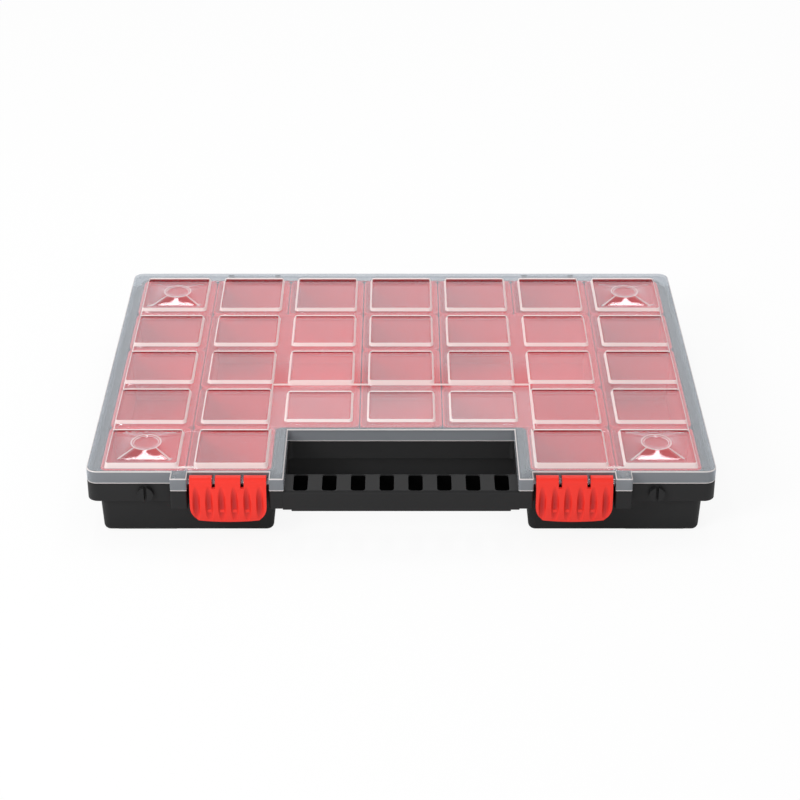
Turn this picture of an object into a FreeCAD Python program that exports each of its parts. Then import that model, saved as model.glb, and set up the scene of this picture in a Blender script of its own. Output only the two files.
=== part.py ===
import FreeCAD, Part
import math
import os

# A flat carry case for small parts: a black tray with a handle, a clear hinged lid,
# two snap latches on the lid's front and a set of lift-out bins on a square grid.
# Millimetres, X to the right, Y to the back, Z up, origin under the middle of the closed case.

# Bin grid: square cells in columns and rows, the middle cells of the front row left out for the handle
cell_pitch = 54.6
columns = 7
rows = 5
notch_columns = 3

# Bins: open boxes with a raised floor on a foot ring
bin_gap = 0.6
bin_wall = 1.4
bin_floor = 1.4
bin_corner_radius = 4.5
bin_scoop_radius = 1.0
bin_edge_radius = 1.0
bin_foot_wall = 1.6
bin_foot_room = 0.4
bin_play = 0.4
draft_share = 0.045

# Tray: tapered tub, flange that turns down all round, upstand inside the lid
tub_gap = 0.3
tub_wall = 1.7
tub_floor = 1.8
tub_bottom_radius = 3.5
shelf_height = 38.1
shelf_thickness = 1.8
flange_depth = 12.5
flange_wall = 1.7
side_reach = 6.4
front_reach = 3.2
back_reach = 6.8
notch_side_reach = 6.0
notch_back_reach = 4.7
upstand_gap = 0.6

# Lid: drafted sheet with a skirt, a plateau of square pads, lower pads in front of the handle
lid_wall = 1.6
lid_rise = 9.3
lid_seat_gap = 0.3
lid_corner_radius = 7.0
notch_corner_radius = 3.0
lug_corner_radius = 1.2
plateau_rise = 1.2
pad_rise = 2.4
low_pad_rise = 1.8
pad_draft = 0.4
pad_corner_radius = 3.0
pad_groove = 9.1
pad_pitch_less = 0.2
pad_grid_shift = 6.8
side_border = 11.5
back_border = 14.2
front_border = 3.6
notch_border = 10.4
low_pad_depth = 40.9
low_pad_margin = 9.2

# Stacking nubs on the corner pads: square foot, round top with a shallow dish
nub_foot = 33.5
nub_top_radius = 10.0
nub_rise = 2.8
nub_dish_radius = 7.9
nub_dish_depth = 0.5
socket_room = 0.3

# Latch lugs on the lid's front and the axle bars between them
inner_lug_width = 9.3
outer_lug_width = 10.6
lug_reach = 9.1
latch_pocket_width = 51.6
axle_radius = 2.0
axle_below_top = 4.1
rib_width = 1.4
rib_spread = 9.0
rib_height = 3.0

# Latches: fluted plates with a snap barrel on the axle bar and a hook under the tray's flange
latch_side_room = 1.65
latch_barrel_radius = 4.0
latch_bore_room = 0.08
latch_slit_width = 2.2
latch_slit_below_axle = 2.6
latch_bulge = 2.0
latch_thickness = 2.2
latch_tail = 10.3
latch_hook_gap = 0.3
latch_hook_thickness = 2.2
latch_hook_bite = 1.1
latch_corner_inset = 5.5
latch_corner_rise = 13.0
latch_corner_bulge_share = 0.3
latch_bow = 1.2
flute_count = 6
flute_pitch = 8.0
flute_radius = 3.6
flute_depth = 0.9
barrel_mouth = 3.2

# Handle: hollow bar across the notch with a slotted top
handle_depth = 22.9
handle_height = 13.3
handle_grip_drop = 1.0
handle_grip_end = 4.6
handle_wall = 1.7
handle_edge_radius = 2.4
slot_count = 8
slot_pitch = 18.2
slot_width = 9.2
slot_corner_radius = 2.0

# Split snap bosses on the flange's front
boss_from_side = 37.5
boss_radius = 5.0
boss_reach = 3.0
boss_below_shelf = 6.3
boss_split = 1.8

# Hinge at the back: pairs of ears on the tray, barrels with stub pins on the lid
hinge_station_x = 110.0
hinge_barrel_length = 30.0
hinge_barrel_radius = 2.9
hinge_pin_radius = 1.6
hinge_pin_room = 0.08
hinge_ear_width = 4.0
hinge_ear_radius = 2.9
hinge_side_room = 0.4
hinge_behind_lid = 2.0
hinge_above_shelf = 3.6
hinge_swing_room = 0.4

# Cuts run this far past the faces that they leave
overrun = 2.0
level_share = 0.001

V = FreeCAD.Vector

# Heights of the stack from the floor up
flange_bottom = shelf_height - flange_depth
lid_bottom = shelf_height + lid_seat_gap
border_top = shelf_height + lid_rise
border_under = border_top - lid_wall
upstand_top = border_under - upstand_gap
plateau_top = border_top + plateau_rise
pad_top = plateau_top + pad_rise
bin_top = border_under - bin_play

# Plan places, worked out from the bin grid
half_x = columns * cell_pitch / 2
half_y = rows * cell_pitch / 2
front_to_grid = tub_gap + tub_wall + front_reach + lug_reach + latch_bulge
back_to_grid = tub_gap + tub_wall + back_reach + hinge_behind_lid + hinge_ear_radius
grid_y = (front_to_grid - back_to_grid) / 2
grid_front = grid_y - half_y
grid_back = grid_y + half_y
notch_x = notch_columns * cell_pitch / 2
notch_y = grid_front + cell_pitch

lid_x = half_x + tub_gap + tub_wall + side_reach
lid_front = grid_front - tub_gap - tub_wall - front_reach
lid_back = grid_back + tub_gap + tub_wall + back_reach
lid_notch_x = notch_x - tub_gap - tub_wall - notch_side_reach
lid_notch_y = notch_y - tub_gap - tub_wall - notch_back_reach
lug_front = lid_front - lug_reach
pocket_inner_x = lid_notch_x + inner_lug_width
pocket_outer_x = pocket_inner_x + latch_pocket_width
lug_outer_x = pocket_outer_x + outer_lug_width
latch_x = (pocket_inner_x + pocket_outer_x) / 2
axle_y = lug_front + latch_barrel_radius
axle_z = border_top - axle_below_top
hinge_y = lid_back + hinge_behind_lid
hinge_z = shelf_height + hinge_above_shelf


def outline(corners, inset, height):
    """Closed level wire round square corners (x, y, radius), counterclockwise, moved in by inset."""
    runs = []
    for i, (x, y, radius) in enumerate(corners):
        before = corners[i - 1]
        after = corners[(i + 1) % len(corners)]
        arrive = V(x - before[0], y - before[1], 0).normalize()
        leave = V(after[0] - x, after[1] - y, 0).normalize()
        turn = arrive.x * leave.y - arrive.y * leave.x
        inward = V(-arrive.y - leave.y, arrive.x + leave.x, 0)
        point = V(x, y, height) + inward * inset
        rounding = max(radius - inset * turn, 0) if radius else 0
        runs.append((point, arrive, leave, rounding))
    edges = []
    for i, (point, arrive, leave, rounding) in enumerate(runs):
        last_point, _, last_leave, last_rounding = runs[i - 1]
        start = last_point + last_leave * last_rounding
        end = point - arrive * rounding
        edges.append(Part.makeLine(start, end))
        if rounding:
            middle = point + (leave - arrive) * (rounding * (1 - math.sqrt(1 / 2)))
            edges.append(Part.Arc(end, middle, point + leave * rounding).toShape())
    return Part.Wire(edges)


def rectangle(x_low, x_high, y_low, y_high, radius):
    """Four corners of a level rectangle for an outline."""
    return [(x_low, y_low, radius), (x_high, y_low, radius), (x_high, y_high, radius), (x_low, y_high, radius)]


def prism(corners, inset, z_low, z_high):
    """Upright solid on an outline."""
    return Part.Face(outline(corners, inset, z_low)).extrude(V(0, 0, z_high - z_low))


def tapered(corners, inset_low, z_low, inset_high, z_high):
    """Solid between two outlines of the same corners."""
    return Part.makeLoft([outline(corners, inset_low, z_low), outline(corners, inset_high, z_high)], True, True)


def block(x_low, x_high, y_low, y_high, z_low, z_high):
    """Plain box between two corners."""
    return Part.makeBox(x_high - x_low, y_high - y_low, z_high - z_low, V(x_low, y_low, z_low))


def bar(radius, x_low, x_high, y, z):
    """Round bar along X."""
    return Part.makeCylinder(radius, x_high - x_low, V(x_low, y, z), V(1, 0, 0))


def level_edges(shape, z):
    """Edges of a shape that lie at one height."""
    slack = overrun * level_share
    return [e for e in shape.Edges if abs(e.BoundBox.ZMin - z) < slack and abs(e.BoundBox.ZMax - z) < slack]


def lengthwise(edges, x_low, x_high):
    """Solid along X on a closed run of edges in the Y-Z plane at x = 0."""
    face = Part.Face(Part.Wire(edges))
    face.translate(V(x_low, 0, 0))
    return face.extrude(V(x_high - x_low, 0, 0))


def mirrored(shape):
    """The same shape on the other side of the case."""
    return shape.mirror(V(0, 0, 0), V(1, 0, 0))


def square_to_round(x, y, half_side, radius, z_low, z_high):
    """Ruled solid from a square foot to a round top, joined corner to quarter circle."""
    diagonals = [math.radians(45 + 90 * k) for k in range(4)]
    foot = [V(x + half_side * round(math.copysign(1, math.cos(a))),
              y + half_side * round(math.copysign(1, math.sin(a))), z_low) for a in diagonals]
    lines = [Part.makeLine(foot[k], foot[(k + 1) % 4]) for k in range(4)]
    arcs = []
    for a in diagonals:
        points = [V(x + radius * math.cos(a + t), y + radius * math.sin(a + t), z_high)
                  for t in (0, math.pi / 4, math.pi / 2)]
        arcs.append(Part.Arc(*points).toShape())
    return Part.makeLoft([Part.Wire(lines), Part.Wire(arcs)], True, True)


def ushape(left, right, front, back, notch_left, notch_right, notch_back, radius, notch_radius):
    """Corners of the case's plan: a rectangle with a square notch in the middle of its front."""
    return [(left, front, radius), (notch_left, front, radius),
            (notch_left, notch_back, notch_radius), (notch_right, notch_back, notch_radius),
            (notch_right, front, radius), (right, front, radius), (right, back, radius), (left, back, radius)]


# Plan of the bin field, which the tub's walls follow at their own distances
field = ushape(-half_x, half_x, grid_front, grid_back, -notch_x, notch_x, notch_y,
               bin_corner_radius, bin_corner_radius)

# Plan of the lid and of the flange under it, with two lugs beside each latch
lid_plan = [
    (-lid_x, lid_front, lid_corner_radius),
    (-lug_outer_x, lid_front, lug_corner_radius),
    (-lug_outer_x, lug_front, lug_corner_radius),
    (-pocket_outer_x, lug_front, lug_corner_radius),
    (-pocket_outer_x, lid_front, lug_corner_radius),
    (-pocket_inner_x, lid_front, lug_corner_radius),
    (-pocket_inner_x, lug_front, lug_corner_radius),
    (-lid_notch_x, lug_front, lug_corner_radius),
    (-lid_notch_x, lid_notch_y, notch_corner_radius),
]
lid_plan += [(-x, y, radius) for x, y, radius in reversed(lid_plan)]
lid_plan += [(lid_x, lid_back, lid_corner_radius), (-lid_x, lid_back, lid_corner_radius)]


# Pad grid on the lid
pad_pitch = cell_pitch - pad_pitch_less
pad_half = (pad_pitch - pad_groove) / 2
pad_grid_y = grid_y - pad_grid_shift
plateau_x = lid_x - side_border
plateau_back = lid_back - back_border
plateau_front = lid_front + front_border
plateau_notch_x = lid_notch_x + notch_border


def pad_x(column):
    """Middle of a pad column, counted from the left."""
    return (column - (columns - 1) / 2) * pad_pitch


def pad_y(row):
    """Middle of a pad row, counted from the back."""
    return pad_grid_y + ((rows - 1) / 2 - row) * pad_pitch


first_low = (columns - notch_columns) // 2
last_low = first_low + notch_columns - 1
low_x = pad_x(last_low + 1) - pad_half
low_back = pad_y(rows - 3) - pad_half
row_seam_y = (pad_y(rows - 2) + pad_y(rows - 1)) / 2
nub_places = [(pad_x(c), pad_y(r)) for c in (0, columns - 1) for r in (0, rows - 1)]

plateau_plan = [
    (-plateau_x, plateau_front, pad_corner_radius), (-plateau_notch_x, plateau_front, pad_corner_radius),
    (-plateau_notch_x, row_seam_y, 0), (-low_x, row_seam_y, 0),
    (-low_x, low_back, 0), (low_x, low_back, 0),
    (low_x, row_seam_y, 0), (plateau_notch_x, row_seam_y, 0),
    (plateau_notch_x, plateau_front, pad_corner_radius), (plateau_x, plateau_front, pad_corner_radius),
    (plateau_x, plateau_back, pad_corner_radius), (-plateau_x, plateau_back, pad_corner_radius),
]


def pad_plans():
    """Plan of each tall pad: the pads at the plateau's edge run out to it."""
    plans = []
    for row in range(rows):
        for column in range(columns):
            low_zone = first_low <= column <= last_low
            if low_zone and row >= rows - 2:
                continue
            left = pad_x(column) - pad_half if column else -plateau_x
            right = pad_x(column) + pad_half if column < columns - 1 else plateau_x
            front = pad_y(row) - pad_half if row < rows - 1 else plateau_front
            back = pad_y(row) + pad_half if row else plateau_back
            if row == rows - 1 and column == first_low - 1:
                right = -plateau_notch_x
            if row == rows - 1 and column == last_low + 1:
                left = plateau_notch_x
            plans.append(rectangle(left, right, front, back, pad_corner_radius))
    return plans


def low_pad_plans():
    """Plan of each low pad in front of the handle."""
    front = lid_notch_y + low_pad_margin
    return [rectangle(pad_x(c) - pad_half, pad_x(c) + pad_half, front, front + low_pad_depth, pad_corner_radius)
            for c in range(first_low, last_low + 1)]


def relief(inset, drop):
    """The lid's raised forms, moved in and down by one wall for its underside."""
    start = border_top - drop - overrun * bool(inset)
    forms = [prism(plateau_plan, inset, start, plateau_top - drop)]
    for plan in pad_plans():
        forms.append(tapered(plan, inset, plateau_top - drop, inset + pad_draft, pad_top - drop))
    for plan in low_pad_plans():
        forms.append(tapered(plan, inset, border_top - drop, inset + pad_draft, border_top + low_pad_rise - drop))
    for x, y in nub_places:
        forms.append(square_to_round(x, y, nub_foot / 2 - inset, nub_top_radius - inset,
                                     pad_top - drop, pad_top + nub_rise - drop))
    return forms


def make_lid():
    """Clear lid, one moulding in two solids: the sheet with its pads and nubs, and under it
    the skirt with the latch axle bars and the hinge barrels."""
    shell = prism(lid_plan, 0, lid_bottom, border_top).multiFuse(relief(0, 0))
    hollow = prism(lid_plan, lid_wall, lid_bottom - overrun, border_under).multiFuse(relief(lid_wall, lid_wall))
    dishes = [Part.makeCylinder(nub_dish_radius, nub_dish_depth + overrun,
                                V(x, y, pad_top + nub_rise - nub_dish_depth)) for x, y in nub_places]
    lid = shell.cut([hollow] + dishes)
    fittings = []
    slots = []
    for side in (-1, 1):
        grip = lid_wall / 2
        middle = side * latch_x
        fittings.append(bar(axle_radius, middle - latch_pocket_width / 2 - grip,
                            middle + latch_pocket_width / 2 + grip, axle_y, axle_z))
        for rib in (-1, 1):
            x = middle + rib * rib_spread
            fittings.append(block(x - rib_width / 2, x + rib_width / 2, axle_y, lid_front + grip,
                                  axle_z - rib_height / 2, axle_z + rib_height / 2))
        hinge_x = side * hinge_station_x
        reach = hinge_barrel_length / 2
        ear_far = reach + hinge_ear_width + hinge_side_room
        fittings.append(bar(hinge_barrel_radius, hinge_x - reach, hinge_x + reach, hinge_y, hinge_z))
        fittings.append(bar(hinge_pin_radius, hinge_x - ear_far, hinge_x + ear_far, hinge_y, hinge_z))
        for end in (-1, 1):
            near = hinge_x + end * reach
            far = hinge_x + end * (ear_far + hinge_side_room)
            slots.append(block(min(near, far), max(near, far), lid_back - lid_wall - overrun, lid_back + overrun,
                               lid_bottom - overrun, hinge_z + hinge_ear_radius + hinge_swing_room))
    above = block(-lid_x, lid_x, lug_front, lid_back, border_under, pad_top + nub_rise)
    sheet = lid.common(above).removeSplitter()
    skirt = lid.cut([above] + slots).multiFuse(fittings).removeSplitter()
    return sheet, skirt


def make_hinge_ear(x_low):
    """Ear on the tray's back that holds a stub pin, with a sloped root on the flange."""
    root = flange_bottom + flange_depth / 2
    inside = lid_back - flange_wall / 2
    front = hinge_y - hinge_ear_radius
    corners = [V(0, front, shelf_height - shelf_thickness / 2), V(0, inside, shelf_height - shelf_thickness / 2),
               V(0, inside, root), V(0, hinge_y, hinge_z - hinge_ear_radius), V(0, hinge_y, hinge_z),
               V(0, front, hinge_z)]
    cheek = lengthwise([Part.makePolygon(corners + corners[:1])], x_low, x_low + hinge_ear_width)
    disc = bar(hinge_ear_radius, x_low, x_low + hinge_ear_width, hinge_y, hinge_z)
    bore = bar(hinge_pin_radius + hinge_pin_room, x_low - overrun, x_low + hinge_ear_width + overrun, hinge_y, hinge_z)
    return cheek.fuse(disc).cut(bore)


def make_handle():
    """Hollow bar across the notch, open below, with slots through its top."""
    back = lug_front + handle_depth
    bottom = shelf_height - handle_height
    end_x = lid_notch_x + flange_wall / 2
    grip_x = lid_notch_x - handle_grip_end
    shell = block(-end_x, end_x, lug_front, back, bottom, shelf_height)
    long_edges = [e for e in level_edges(shell, shelf_height) if e.BoundBox.XLength > handle_depth]
    shell = shell.makeFillet(handle_edge_radius, long_edges)
    grip = block(-grip_x, grip_x, lug_front, back, bottom - handle_grip_drop, bottom + handle_wall)
    room_x = lid_notch_x - handle_wall
    room = block(-room_x, room_x, lug_front + handle_wall, back - handle_wall,
                 bottom - handle_grip_drop - overrun, shelf_height - handle_wall)
    slots = []
    for k in range(slot_count):
        x = (k - (slot_count - 1) / 2) * slot_pitch
        plan = rectangle(x - slot_width / 2, x + slot_width / 2, lug_front + handle_wall, back - handle_wall,
                         slot_corner_radius)
        slots.append(prism(plan, 0, shelf_height - handle_wall - overrun, shelf_height + overrun))
    return shell.fuse(grip).cut([room] + slots)


def make_boss(x):
    """Round boss on the flange's front, split by an upright slot."""
    z = shelf_height - boss_below_shelf
    grip = flange_wall / 2
    boss = Part.makeCylinder(boss_radius, boss_reach + grip, V(x, lid_front + grip, z), V(0, -1, 0))
    split = block(x - boss_split / 2, x + boss_split / 2, lid_front - boss_reach - overrun, lid_front,
                  z - boss_radius - overrun, z + boss_radius + overrun)
    return boss.cut(split)


def make_tray():
    """Black tray, one moulding in three solids: the tub with its upstand and sockets for stacking,
    the flange round it with bosses and hinge ears, and the handle."""
    outer = tub_gap + tub_wall
    tub = tapered(field, draft_share * upstand_top - outer, 0, -outer, upstand_top)
    tub = tub.makeFillet(tub_bottom_radius, level_edges(tub, 0))
    shelf = prism(lid_plan, 0, shelf_height - shelf_thickness, shelf_height)
    skirt = prism(lid_plan, 0, flange_bottom, shelf_height)
    skirt = skirt.cut(prism(lid_plan, flange_wall, flange_bottom - overrun, shelf_height + overrun))
    extras = []
    socket_half = nub_foot / 2 + socket_room
    socket_radius = nub_top_radius + socket_room
    socket_depth = nub_rise + socket_room
    bumps = [square_to_round(x, y, socket_half + tub_wall, socket_radius + tub_wall, 0, socket_depth + tub_wall)
             for x, y in nub_places]
    sockets = [square_to_round(x, y, socket_half, socket_radius, 0, socket_depth) for x, y in nub_places]
    room = tapered(field, draft_share * (upstand_top - tub_floor) - tub_gap, tub_floor,
                   -tub_gap - draft_share * overrun, upstand_top + overrun)
    for side in (-1, 1):
        extras.append(make_boss(side * (lid_x - boss_from_side)))
        reach = hinge_barrel_length / 2 + hinge_side_room
        extras.append(make_hinge_ear(side * hinge_station_x + reach))
        extras.append(make_hinge_ear(side * hinge_station_x - reach - hinge_ear_width))
    flange = shelf.multiFuse([skirt] + extras).cut(tub).removeSplitter()
    handle = make_handle().cut(flange).removeSplitter()
    tub = tub.cut(room).multiFuse(bumps).cut(sockets).removeSplitter()
    return tub, flange, handle


def make_latch():
    """Right latch: barrel on the axle bar, bulged fluted plate, hook under the flange."""
    half_width = latch_pocket_width / 2 - latch_side_room
    low_z = flange_bottom - latch_tail
    face_y = axle_y - latch_barrel_radius
    middle_z = (axle_z + low_z) / 2

    def bow(y_shift):
        return Part.Arc(V(0, face_y + y_shift, axle_z), V(0, face_y - latch_bulge + y_shift, middle_z),
                        V(0, face_y + y_shift, low_z)).toShape()

    front = bow(0)
    back = bow(latch_thickness)
    ends = [Part.makeLine(a.valueAt(a.LastParameter if last else a.FirstParameter),
                          b.valueAt(b.LastParameter if last else b.FirstParameter))
            for a, b, last in ((front, back, True), (back, front, False))]
    plate = lengthwise([front, ends[0], back, ends[1]], latch_x - half_width, latch_x + half_width)
    barrel = bar(latch_barrel_radius, latch_x - half_width, latch_x + half_width, axle_y, axle_z)
    hook_top = flange_bottom - latch_hook_gap
    hook = block(latch_x - half_width + latch_corner_inset, latch_x + half_width - latch_corner_inset,
                 face_y - latch_bulge + latch_thickness / 2, lid_front + latch_hook_bite,
                 hook_top - latch_hook_thickness, hook_top)
    latch = plate.multiFuse([barrel, hook])

    # Front outline: straight sides that curve in to a bowed lower edge
    bend_z = low_z + latch_corner_rise
    low_x_reach = half_width - latch_corner_inset
    sides = []
    for side in (-1, 1):
        upper = V(latch_x + side * half_width, 0, bend_z)
        lower = V(latch_x + side * low_x_reach, 0, low_z + latch_bow)
        middle = (upper + lower) / 2 + V(side * latch_corner_inset * latch_corner_bulge_share, 0, 0)
        sides.append(Part.Arc(upper, middle, lower).toShape())
    left_arc, right_arc = sides
    left_low = left_arc.Vertexes[1].Point
    right_low = right_arc.Vertexes[1].Point
    lower_edge = Part.Arc(left_low, V(latch_x, 0, low_z), right_low).toShape()
    top_z = axle_z + latch_barrel_radius + overrun
    left_top = V(latch_x - half_width, 0, top_z)
    right_top = V(latch_x + half_width, 0, top_z)
    frame = Part.Wire([left_arc, lower_edge, right_arc, Part.makeLine(right_arc.Vertexes[0].Point, right_top),
                       Part.makeLine(right_top, left_top), Part.makeLine(left_top, left_arc.Vertexes[0].Point)])
    depth = lug_reach + latch_bulge + latch_hook_bite + overrun + overrun
    silhouette = Part.Face(frame)
    silhouette.translate(V(0, lid_front + latch_hook_bite + overrun, 0))
    latch = latch.common(silhouette.extrude(V(0, -depth, 0)))

    # Bore for the axle bar with a snap mouth to the back, slits for the axle's ribs, flutes for the fingers
    cuts = [bar(axle_radius + latch_bore_room, latch_x - half_width - overrun, latch_x + half_width + overrun,
                axle_y, axle_z)]
    cuts.append(block(latch_x - half_width - overrun, latch_x + half_width + overrun, axle_y,
                      axle_y + latch_barrel_radius + overrun, axle_z - barrel_mouth / 2,
                      axle_z + barrel_mouth / 2))
    for rib in (-1, 1):
        x = latch_x + rib * rib_spread
        cuts.append(block(x - latch_slit_width / 2, x + latch_slit_width / 2, face_y - latch_bulge - overrun,
                          axle_y + latch_barrel_radius + overrun, axle_z - latch_slit_below_axle, top_z))
    flute_y = face_y - latch_bulge + flute_depth - flute_radius
    for k in range(flute_count):
        x = latch_x + (k - (flute_count - 1) / 2) * flute_pitch
        cuts.append(Part.makeCylinder(flute_radius, top_z - low_z + overrun, V(x, flute_y, low_z - overrun)))
    return latch.cut(cuts).removeSplitter()


def make_bin(column, row, wide, deep):
    """Tapered open bin over a block of cells, floor raised on a foot ring."""
    left = (column - columns / 2) * cell_pitch
    back = grid_y + (rows / 2 - row) * cell_pitch
    plan = rectangle(left, left + wide * cell_pitch, back - deep * cell_pitch, back, bin_corner_radius)
    rim = bin_gap / 2
    height = bin_top - tub_floor
    foot = rim + draft_share * height
    body = tapered(plan, foot, tub_floor, rim, bin_top)
    body = body.makeFillet(bin_edge_radius, level_edges(body, tub_floor))
    foot_height = nub_rise + socket_room + tub_wall - tub_floor + bin_foot_room
    floor_z = tub_floor + foot_height + bin_floor
    room = tapered(plan, rim + bin_wall + draft_share * (bin_top - floor_z), floor_z,
                   rim + bin_wall - draft_share * overrun, bin_top + overrun)
    room = room.makeFillet(bin_scoop_radius, level_edges(room, floor_z))
    under = prism(plan, foot + bin_foot_wall, tub_floor - overrun, tub_floor + foot_height)
    return body.cut([room, under]).removeSplitter()


# Bins by name: column, row (both from the back left), cells wide, cells deep
bins = {}
for column in range(columns):
    bins[f"single_bin_r1_c{column + 1}"] = (column, 0, 1, 1)
for column in (0, 3, 6):
    bins[f"single_bin_r2_c{column + 1}"] = (column, 1, 1, 1)
for column in (0, 1, 5, 6):
    bins[f"single_bin_r5_c{column + 1}"] = (column, 4, 1, 1)
for place, column in (("left", 1), ("right", 4)):
    bins[f"square_bin_{place}"] = (column, 1, 2, 2)
    bins[f"wide_bin_{place}"] = (column, 3, 2, 1)
for place, column in (("left", 0), ("middle", 3), ("right", 6)):
    bins[f"deep_bin_{place}"] = (column, 2, 1, 2)

pieces = {}
pieces["base_tray"], pieces["tray_flange"], pieces["tray_handle"] = make_tray()
pieces["lid"], pieces["lid_skirt"] = make_lid()
pieces["latch_right"] = make_latch()
pieces["latch_left"] = mirrored(pieces["latch_right"])
for name, cells in bins.items():
    pieces[name] = make_bin(*cells)

os.makedirs("parts", exist_ok=True)
for name, shape in pieces.items():
    shape.exportStep(f"parts/{name}.step")
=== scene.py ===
import bmesh
import bpy
import numpy as np
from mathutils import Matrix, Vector


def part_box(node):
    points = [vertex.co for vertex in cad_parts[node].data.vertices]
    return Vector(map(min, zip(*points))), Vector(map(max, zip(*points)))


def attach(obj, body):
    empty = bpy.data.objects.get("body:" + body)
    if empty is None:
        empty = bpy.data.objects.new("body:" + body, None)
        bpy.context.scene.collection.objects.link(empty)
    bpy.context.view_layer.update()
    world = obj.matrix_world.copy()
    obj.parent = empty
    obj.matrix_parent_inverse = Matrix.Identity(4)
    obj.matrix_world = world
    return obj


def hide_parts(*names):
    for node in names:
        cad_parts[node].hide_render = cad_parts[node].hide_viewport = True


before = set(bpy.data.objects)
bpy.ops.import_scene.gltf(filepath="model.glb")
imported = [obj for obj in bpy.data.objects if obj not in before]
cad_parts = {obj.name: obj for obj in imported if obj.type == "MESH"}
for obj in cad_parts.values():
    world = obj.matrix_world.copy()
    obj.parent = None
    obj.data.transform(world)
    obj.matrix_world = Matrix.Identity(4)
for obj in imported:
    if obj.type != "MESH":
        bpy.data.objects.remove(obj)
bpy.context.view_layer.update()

# Tray
# One black polypropylene moulding: tub, turned-down flange, slotted handle bar and hinge ears.
# The mould is spark-eroded, so every face is dull and carries a very fine pebble grain.
mm = 0.001


class Wire:
    """A socket of a finish: sums, differences and products of wires and numbers add Math nodes."""

    def __init__(self, tree, socket):
        self.tree = tree
        self.socket = socket

    def node(self, kind, settings, sockets, output=0):
        """Adds a node of any kind: its settings first, then the values or links of its sockets."""
        made = self.tree.nodes.new(kind)
        for name, value in settings.items():
            setattr(made, name, value)
        for name, value in sockets.items():
            if isinstance(value, Wire):
                self.tree.links.new(value.socket, made.inputs[name])
            else:
                made.inputs[name].default_value = value
        return Wire(self.tree, made.outputs[output]) if made.outputs else None

    def maths(self, operation, first, second):
        """Adds a Math node on two wires or numbers."""
        return self.node("ShaderNodeMath", {"operation": operation}, {0: first, 1: second})

    def __add__(self, other):
        return self.maths("ADD", self, other)

    def __sub__(self, other):
        return self.maths("SUBTRACT", self, other)

    def __rsub__(self, other):
        return self.maths("SUBTRACT", other, self)

    def __mul__(self, other):
        return self.maths("MULTIPLY", self, other)

    __radd__ = __add__
    __rmul__ = __mul__


def start_finish(name):
    """An empty material, and the wire of each point's place on its piece."""
    material = bpy.data.materials.new(name)
    material.use_nodes = True
    tree = material.node_tree
    tree.nodes.clear()
    return material, Wire(tree, tree.nodes.new("ShaderNodeTexCoord").outputs["Object"])


def speckle(place, size, detail):
    """Soft random clouds about one size across, from 0 to 1."""
    return place.node("ShaderNodeTexNoise", {}, {"Vector": place, "Scale": 1 / size, "Detail": detail})


def blend(place, share, first, second):
    """The colour at a share from 0 to 1 of the way from one colour to another."""
    return place.node("ShaderNodeMix", {"data_type": "RGBA"}, {0: share, 6: first, 7: second}, output=2)


def layer(place, share, first, second):
    """The shader at a share from 0 to 1 of the way from one shader to another."""
    return place.node("ShaderNodeMixShader", {}, {0: share, 1: first, 2: second})


def mark_share(place, name):
    """The share that a mark of that name gives to each point of the mesh."""
    return place.node("ShaderNodeAttribute", {"attribute_name": name}, {}, output="Fac")


cloud_size = 45 * mm
roughness_drift = 0.12
hollow_shade_colour = (0.002, 0.002, 0.002, 1)


def moulded_plastic(name, pale, deep, roughness, gloss, grain_size, grain_depth, groove_shade=(), hollow=()):
    """Opaque moulded plastic: colour drifts between two near shades, grain roughens the gloss.
    The darker colour given for flutes is reached where their mark is 1: painted shade in the flutes.
    A hollow is given by its ends in depth and height, and inside it the plastic is painted near black: painted
    shade for the dark inside of the hollow."""
    material, place = start_finish(name)
    cloud = speckle(place, cloud_size, 3)
    grain = speckle(place, grain_size, 2)
    tint = blend(place, cloud, (*pale, 1), (*deep, 1))
    if groove_shade:
        tint = blend(place, mark_share(place, "groove_shade"), tint, (*groove_shade, 1))
    relief = place.node("ShaderNodeBump", {}, {"Distance": grain_depth, "Height": grain})
    shader = place.node("ShaderNodeBsdfPrincipled", {}, {
        "Base Color": tint, "Roughness": roughness + roughness_drift * (cloud - 0.5),
        "Specular IOR Level": gloss, "Normal": relief})
    if hollow:
        depth, height = (place.node("ShaderNodeSeparateXYZ", {}, {0: place}, output=axis) for axis in "YZ")
        within = [wire.maths(test, wire, end) for wire, ends in zip((depth, height), hollow)
                  for test, end in zip(("GREATER_THAN", "LESS_THAN"), ends)]
        # Painted shade: a near-black diffuse inside the hollow
        painted_hollow_shade = place.node("ShaderNodeBsdfDiffuse", {}, {"Color": hollow_shade_colour})
        shader = layer(place, within[0] * within[1] * within[2] * within[3], shader, painted_hollow_shade)
    place.node("ShaderNodeOutputMaterial", {}, {"Surface": shader})
    return material


tray_look = {"pale": (0.0135, 0.0135, 0.014), "deep": (0.0115, 0.0115, 0.012), "roughness": 0.5, "gloss": 0.25,
             "grain_size": 0.5 * mm, "grain_depth": 0.03 * mm}
# Inside the handle bar's hollow the plastic is painted near black, painted shade standing in for the shade deep
# in it.
handle_skin = 1 * mm
handle_low, handle_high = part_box("tray_handle")
handle_hollow = ((handle_low.y + handle_skin, handle_high.y - handle_skin), (0, handle_high.z - handle_skin))
tray_finish = moulded_plastic("black tray plastic", **tray_look)
handle_finish = moulded_plastic("black handle plastic", **tray_look, hollow=handle_hollow)
tray_finishes = {"base_tray": tray_finish, "tray_flange": tray_finish, "tray_handle": handle_finish}
for node, finish in tray_finishes.items():
    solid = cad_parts[node]
    solid.data.materials.clear()
    solid.data.materials.append(finish)

# Bins
# Lift-out bins of red polystyrene, thin walled and a little glossy, one to four cells each.
# Each is one open box with a draft, rounded corners, a scooped floor and a foot ring.


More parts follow.
